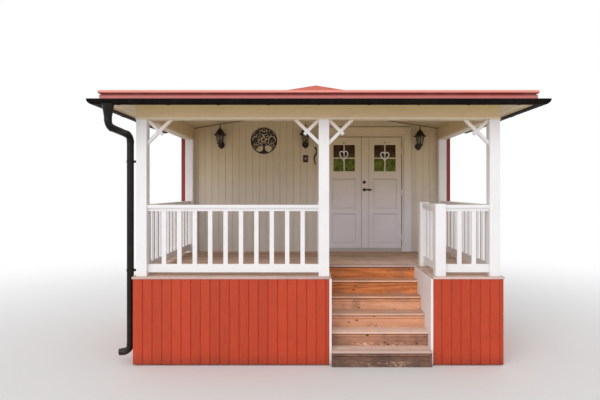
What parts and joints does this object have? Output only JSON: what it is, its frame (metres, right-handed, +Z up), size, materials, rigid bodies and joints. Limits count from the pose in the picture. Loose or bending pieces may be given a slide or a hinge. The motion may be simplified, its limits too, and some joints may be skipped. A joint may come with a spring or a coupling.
{
  "type": "entrance porch",
  "caption": "Raised timber entrance porch with let-in stairs, railings, hipped sheet roof, gutters, and the boarded house wall with a hinged double door",
  "frame": {"origin": "on the ground, under the middle of the porch's plan outline", "axes": "+X along the house wall to the right when facing the door, +Y from the garden through the door into the house, +Z up"},
  "size_m": [5.658, 3.467, 4.202],
  "materials": {
    "white_paint": "white paint on planed timber, slightly worn",
    "red_paint": "red paint on vertical boards",
    "weathered_boards": "grey-brown weathered boards, worn at the edges",
    "riser_boards": "oiled orange-brown pine",
    "pine": "sawn pine, unpainted",
    "red_sheet": "red coated sheet steel with standing seams",
    "black_metal": "black coated sheet steel",
    "black_iron": "black forged iron",
    "lantern_brown": "dark brown cast lantern metal",
    "concrete": "bare grey concrete",
    "window_glass": "dark reflecting pane"
  },
  "bodies": {
    "porch": {"foundation_piers": "concrete", "floor_beams": "pine", "floor_joists": "pine", "deck_floor": "weathered_boards", "skirts": "red_paint", "stair_cheeks": "white_paint", "stair_stringers": "pine", "stair_treads": "weathered_boards", "stair_risers": "riser_boards", "roof_posts": "white_paint", "newel_posts": "white_paint", "roof_beams": "white_paint", "corner_braces": "white_paint", "railings_front": "white_paint", "railings_side": "white_paint", "railings_stair": "white_paint", "ceiling": "white_paint", "rafters": "pine", "roof_boards": "pine", "roof_sheets": "red_sheet", "fascia_boards": "white_paint", "eave_flashing": "red_sheet", "wall_flashing": "red_sheet", "gutter_front": "black_metal", "gutter_left": "black_metal", "gutter_right": "black_metal", "gutter_brackets": "black_metal", "downpipe": "black_metal", "pipe_clamps": "black_metal", "wall_footing": "concrete", "wall_left": "white_paint", "wall_right": "white_paint", "wall_over_door": "white_paint", "door_frame": "white_paint", "door_casing": "white_paint", "threshold": "riser_boards", "wall_lanterns": "lantern_brown", "wall_disc": "black_iron"},
    "left_door": {"door_leaf_left": "white_paint", "door_glass_left": "window_glass"},
    "right_door": {"door_leaf_right": "white_paint", "door_glass_right": "window_glass", "door_handle": "black_iron"}
  },
  "joints": [
    {"name": "left_door_hinge", "type": "hinge", "parent": "porch", "child": "left_door", "pos_m": [0.2055, 1.5195, 2.2], "axis": [0, 0, -1], "range_deg": [0, 90]},
    {"name": "right_door_hinge", "type": "hinge", "parent": "porch", "child": "right_door", "pos_m": [1.5735, 1.5195, 2.2], "axis": [0, 0, 1], "range_deg": [0, 90]}
  ]
}
